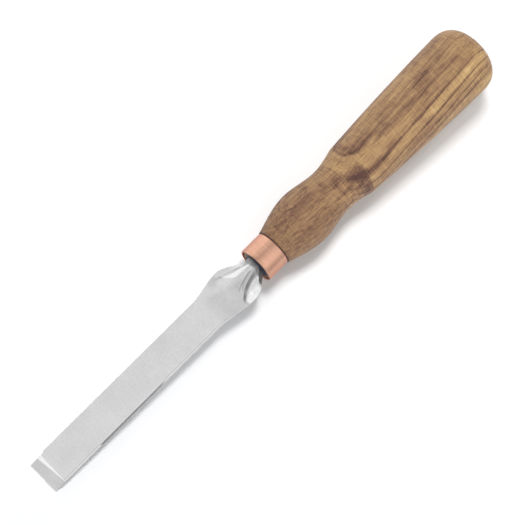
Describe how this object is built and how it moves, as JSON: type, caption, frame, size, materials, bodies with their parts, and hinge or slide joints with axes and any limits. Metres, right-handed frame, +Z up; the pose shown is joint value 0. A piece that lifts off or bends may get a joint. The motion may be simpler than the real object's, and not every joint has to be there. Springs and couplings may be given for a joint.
{
  "type": "carving chisel",
  "caption": "Flat wood-carving chisel: forged steel blade with a flared shoulder and hidden tang, copper ferrule and turned wooden handle with a bulb and a waist.",
  "frame": {"origin": "on the bench under the middle of the tool, which lies as it comes to rest: flat back down, on its cutting edge and on the bulb of the handle", "axes": "+X along the tool towards the cutting edge, +Y across the blade to its left seen from the handle, +Z up from the bench"},
  "size_m": [0.2742, 0.0324, 0.0366],
  "materials": {
    "steel": "ground and polished forged tool steel, finely scratched, dark forge scale left at the neck",
    "copper": "copper tube with a fine brushed finish running round it",
    "wood": "brown streaky hardwood, sanded and oiled to a satin sheen",
    "adhesive": "dark cured epoxy"
  },
  "bodies": {
    "root": {"blade": "steel", "ferrule": "copper", "handle": "wood", "tang_adhesive": "adhesive"}
  },
  "joints": []
}
